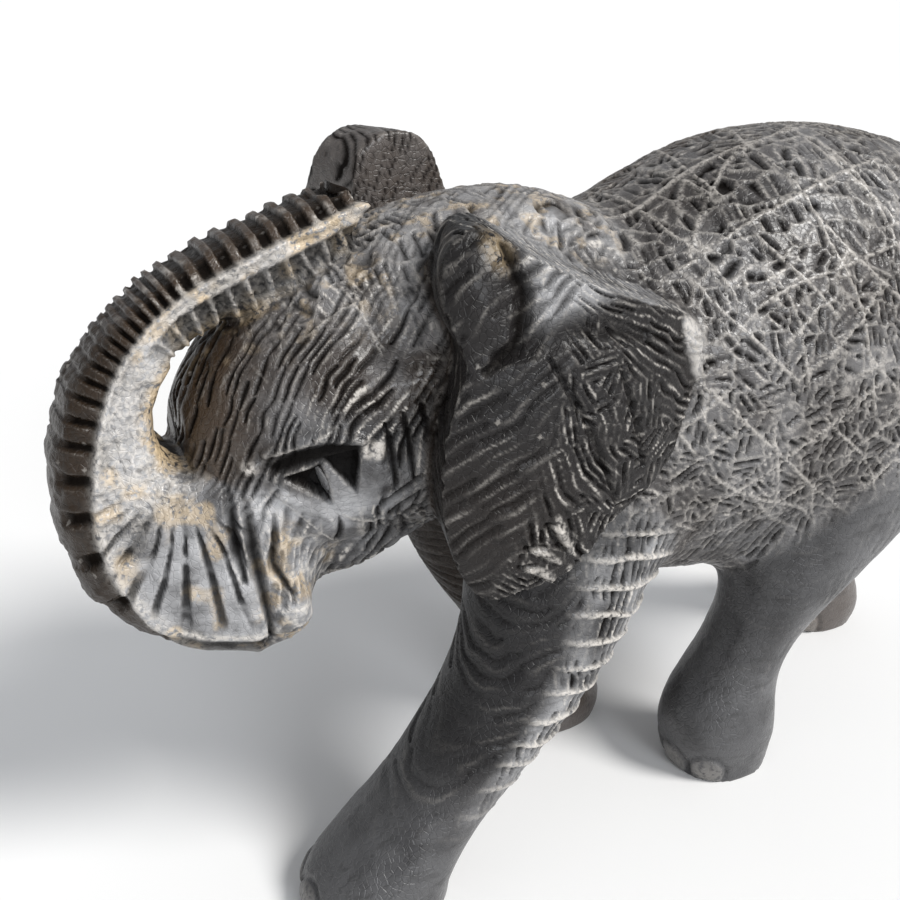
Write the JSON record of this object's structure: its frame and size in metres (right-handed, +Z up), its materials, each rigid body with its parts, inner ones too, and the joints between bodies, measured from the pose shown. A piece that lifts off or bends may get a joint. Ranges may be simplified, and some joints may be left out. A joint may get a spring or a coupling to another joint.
{
  "type": "carved elephant figurine",
  "caption": "Carved dark hardwood elephant walking, its trunk curled up and back over its forehead, with a net of gouged skin creases; a free-standing ornament.",
  "frame": {"origin": "on the standing plane, under the middle of the figure's overall length, on its middle plane", "axes": "+X the way the elephant faces, +Y its left side, +Z up"},
  "size_m": [0.305, 0.114, 0.1966],
  "materials": {
    "hide_wood": "satin, dark stain with worn edges",
    "trunk_wood": "satin, dark stain with worn edges",
    "ear_wood": "satin, dark stain with worn edges",
    "leg_wood": "satin, dark stain with worn edges",
    "tail_wood": "satin, dark stain with worn edges",
    "eye_wood": "satin, dark stain with worn edges"
  },
  "bodies": {
    "root": {"torso": "hide_wood", "head": "hide_wood", "lower_jaw": "hide_wood", "trunk": "trunk_wood", "ear_left": "ear_wood", "ear_right": "ear_wood", "leg_front_left": "leg_wood", "leg_front_right": "leg_wood", "leg_rear_left": "leg_wood", "leg_rear_right": "leg_wood", "tail": "tail_wood", "eye_left": "eye_wood", "eye_right": "eye_wood"}
  },
  "joints": []
}
